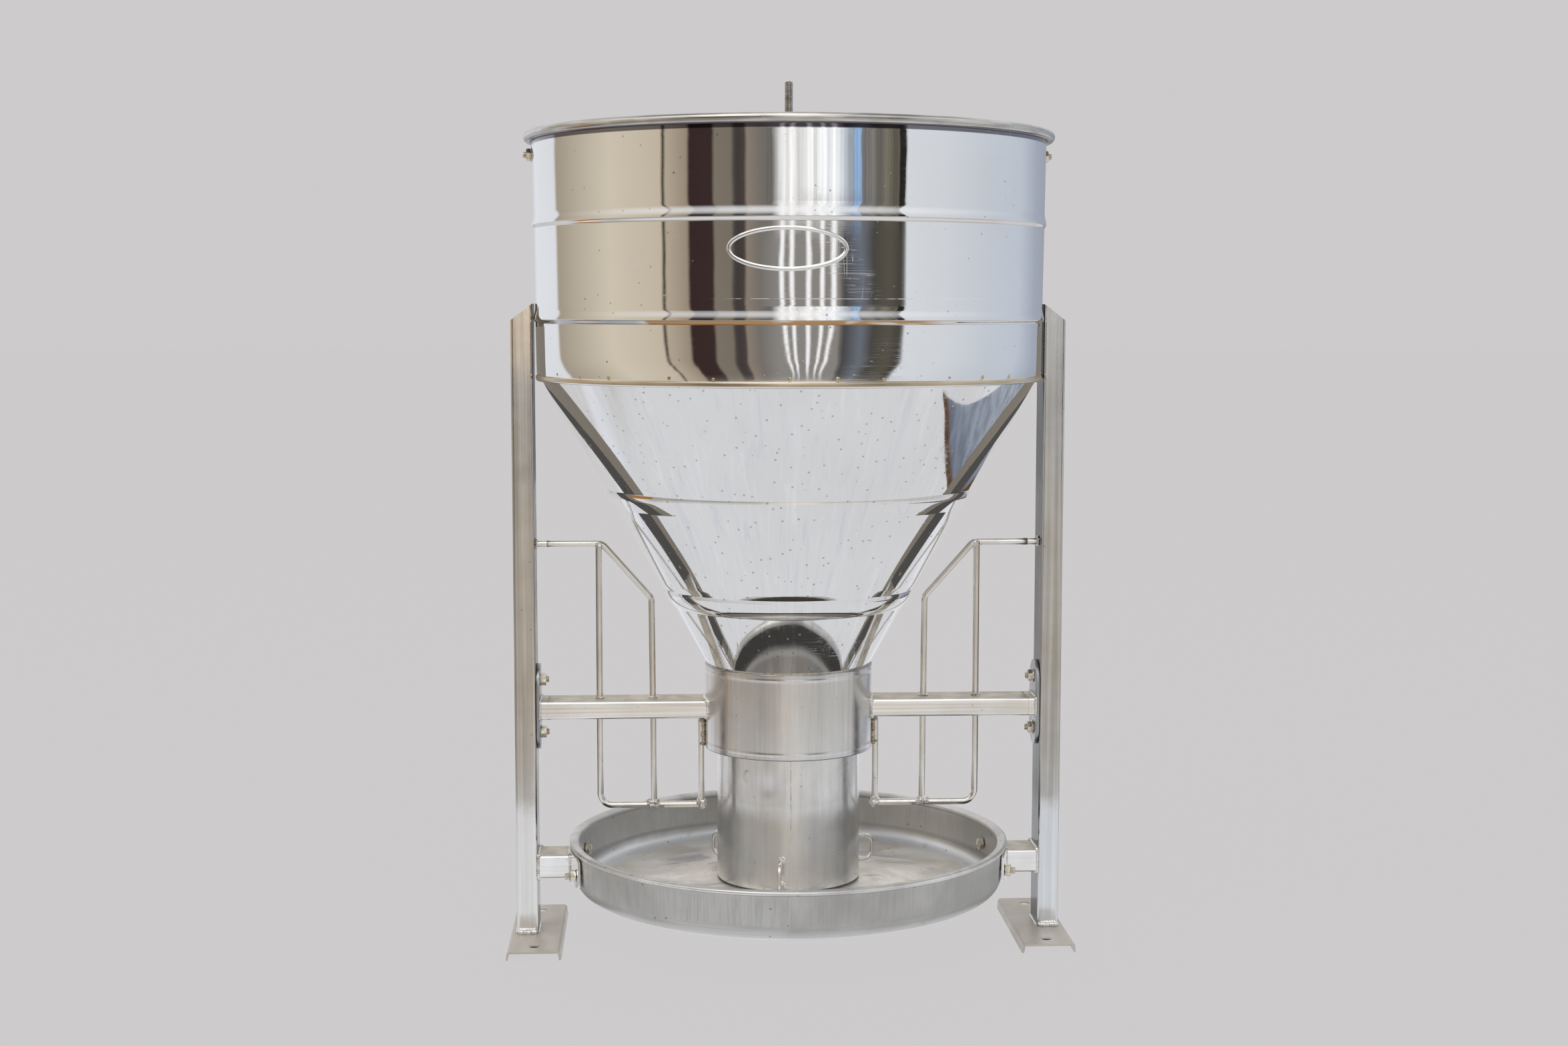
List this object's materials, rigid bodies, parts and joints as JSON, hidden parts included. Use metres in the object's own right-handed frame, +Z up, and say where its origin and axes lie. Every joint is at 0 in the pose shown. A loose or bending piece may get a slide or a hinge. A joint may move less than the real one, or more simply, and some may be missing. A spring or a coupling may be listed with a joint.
{
  "type": "automatic livestock feeder",
  "caption": "Gravity hopper feeder for pigs: a polished drum and cone on side legs, with a rotating drop tube over a round trough and round-bar side guards.",
  "frame": {"origin": "on the floor, under the vertical axis of the hopper", "axes": "+Z up along the rod; +X towards the right leg seen from the front; -Y is the front"},
  "size_m": [0.6704, 0.6204, 1.0213],
  "materials": {
    "polished_steel": "mirror-polished stainless sheet with scratches and specks",
    "satin_steel": "satin stainless sheet",
    "frame_steel": "mill-finish stainless tube and bar, with bright welds",
    "tray_aluminium": "spun aluminium, grey and streaky",
    "zinc_fastener": "zinc-plated, slightly yellow"
  },
  "bodies": {
    "frame": {"hopper_cylinder": "polished_steel", "hopper_cone": "polished_steel", "cross_bar": "frame_steel", "collar_ring": "satin_steel", "feed_tray": "tray_aluminium", "side_bolt_left": "zinc_fastener", "side_washer_left": "zinc_fastener", "side_nut_left": "zinc_fastener", "beam_left": "frame_steel", "end_plate_left": "frame_steel", "leg_left": "frame_steel", "foot_left": "frame_steel", "stub_left": "frame_steel", "tray_bracket_left": "frame_steel", "gate_upper_left": "frame_steel", "gate_lower_left": "frame_steel", "plate_stud_left_lower": "zinc_fastener", "plate_stud_left_upper": "zinc_fastener", "plate_nut_left_lower": "zinc_fastener", "plate_nut_left_upper": "zinc_fastener", "tray_bolt_left_front": "zinc_fastener", "tray_bolt_left_rear": "zinc_fastener", "tray_nut_left_front": "zinc_fastener", "tray_nut_left_rear": "zinc_fastener", "side_bolt_right": "zinc_fastener", "side_washer_right": "zinc_fastener", "side_nut_right": "zinc_fastener", "beam_right": "frame_steel", "end_plate_right": "frame_steel", "leg_right": "frame_steel", "foot_right": "frame_steel", "stub_right": "frame_steel", "tray_bracket_right": "frame_steel", "gate_upper_right": "frame_steel", "gate_lower_right": "frame_steel", "plate_stud_right_lower": "zinc_fastener", "plate_stud_right_upper": "zinc_fastener", "plate_nut_right_lower": "zinc_fastener", "plate_nut_right_upper": "zinc_fastener", "tray_bolt_right_front": "zinc_fastener", "tray_bolt_right_rear": "zinc_fastener", "tray_nut_right_front": "zinc_fastener", "tray_nut_right_rear": "zinc_fastener"},
    "height_nut": {"rod_washer": "zinc_fastener", "adjusting_nut": "zinc_fastener", "jam_nut": "zinc_fastener"},
    "feed_tube": {"threaded_rod": "frame_steel", "agitator_bar_upper": "frame_steel", "agitator_bar_middle": "frame_steel", "agitator_bar_lower": "frame_steel", "tube_bridge": "frame_steel", "bridge_nut_upper": "zinc_fastener", "bridge_nut_lower": "zinc_fastener", "drop_tube": "satin_steel", "push_loop_front": "frame_steel", "push_loop_right": "frame_steel", "push_loop_rear": "frame_steel"}
  },
  "joints": [
    {"name": "feed_tube_spin", "type": "hinge", "parent": "frame", "child": "height_nut", "pos_m": [0, 0, 0.9502], "axis": [0, 0, 1], "continuous": true},
    {"name": "feed_gap_height", "type": "slide", "parent": "height_nut", "child": "feed_tube", "axis": [0, 0, 1], "range_m": [-0.002, 0.03]}
  ]
}
